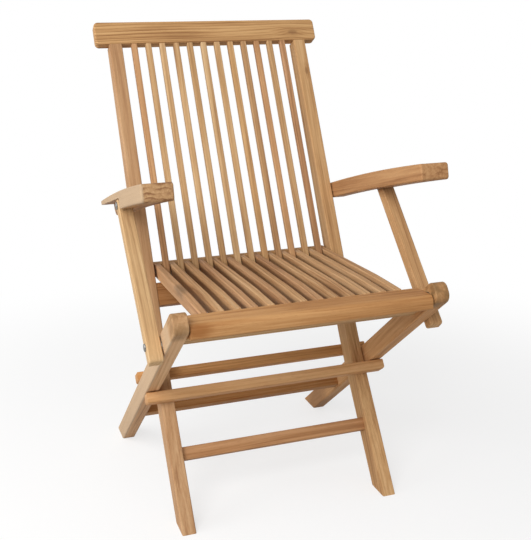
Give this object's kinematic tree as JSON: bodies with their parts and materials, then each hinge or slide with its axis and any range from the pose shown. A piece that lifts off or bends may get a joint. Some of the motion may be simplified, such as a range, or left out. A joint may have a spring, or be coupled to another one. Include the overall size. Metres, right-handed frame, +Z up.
{
  "type": "folding armchair",
  "caption": "Folding armchair in solid teak: tall slatted back, slatted seat, flat arms on struts, and legs that cross and fold flat against the back.",
  "frame": {"origin": "on the floor, at the middle of the whole open chair", "axes": "+X to the sitter's left, -Y to the front, +Z up"},
  "size_m": [0.54, 0.6384, 0.8879],
  "materials": {
    "teak": "bare golden teak, sanded, satin to matte, fine straight grain along each piece",
    "steel": "plain stainless pins, washers and domed bolt heads"
  },
  "bodies": {
    "back_frame": {"arm_pins": "steel", "arm_washers": "steel", "back_slat_01": "teak", "back_slat_02": "teak", "back_slat_03": "teak", "back_slat_04": "teak", "back_slat_05": "teak", "back_slat_06": "teak", "back_slat_07": "teak", "back_slat_08": "teak", "back_slat_09": "teak", "back_slat_10": "teak", "back_slat_11": "teak", "back_slat_12": "teak", "crest_rail": "teak", "cross_pins": "steel", "cross_washers": "steel", "front_stop_rail": "teak", "front_stretcher": "teak", "lower_back_rail": "teak", "post_left": "teak", "post_right": "teak", "rear_stop_rail": "teak", "stop_rail_dowels": "teak"},
    "leg_frame": {"leg_lower_stretcher": "teak", "leg_upper_stretcher": "teak", "rear_leg_left": "teak", "rear_leg_right": "teak", "seat_pins": "steel", "seat_washers": "steel", "strut_foot_washers": "steel"},
    "seat": {"seat_front_rail": "teak", "seat_rear_rail": "teak", "seat_slat_01": "teak", "seat_slat_02": "teak", "seat_slat_03": "teak", "seat_slat_04": "teak", "seat_slat_05": "teak", "seat_slat_06": "teak", "seat_slat_07": "teak", "seat_slat_08": "teak", "seat_slat_09": "teak", "seat_slat_10": "teak", "seat_slat_11": "teak", "seat_slat_12": "teak", "seat_slat_13": "teak"},
    "arm_left": {"arm_left": "teak", "strut_top_bolt_left": "steel", "strut_top_washer_left": "steel"},
    "arm_right": {"arm_right": "teak", "strut_top_bolt_right": "steel", "strut_top_washer_right": "steel"},
    "strut_left": {"strut_foot_bolt_left": "steel", "strut_left": "teak"},
    "strut_right": {"strut_foot_bolt_right": "steel", "strut_right": "teak"}
  },
  "joints": [
    {"name": "leg_fold", "type": "hinge", "parent": "back_frame", "child": "leg_frame", "pos_m": [0, -0.02311, 0.22018], "axis": [-1, 0, 0], "range_deg": [0, 71]},
    {"name": "seat_fold", "type": "hinge", "parent": "leg_frame", "child": "seat", "pos_m": [0, -0.29045, 0.42814], "axis": [1, 0, 0], "range_deg": [0, 121.71]},
    {"name": "arm_left_fold", "type": "hinge", "parent": "back_frame", "child": "arm_left", "pos_m": [0, 0.14095, 0.53793], "axis": [-1, 0, 0], "range_deg": [0, 92.76]},
    {"name": "strut_left_fold", "type": "hinge", "parent": "arm_left", "child": "strut_left", "pos_m": [0, -0.03249, 0.57708], "axis": [1, 0, 0], "range_deg": [0, 109.34]},
    {"name": "arm_right_fold", "type": "hinge", "parent": "back_frame", "child": "arm_right", "pos_m": [0, 0.14095, 0.53793], "axis": [-1, 0, 0], "range_deg": [0, 92.76]},
    {"name": "strut_right_fold", "type": "hinge", "parent": "arm_right", "child": "strut_right", "pos_m": [0, -0.03249, 0.57708], "axis": [1, 0, 0], "range_deg": [0, 109.34]}
  ],
  "couplings": [
    {"joint": "seat_fold", "follows": "leg_fold", "ratio": 1.7142},
    {"joint": "arm_left_fold", "follows": "leg_fold", "ratio": 1.3064},
    {"joint": "strut_left_fold", "follows": "leg_fold", "ratio": 1.54},
    {"joint": "arm_right_fold", "follows": "leg_fold", "ratio": 1.3064},
    {"joint": "strut_right_fold", "follows": "leg_fold", "ratio": 1.54}
  ]
}
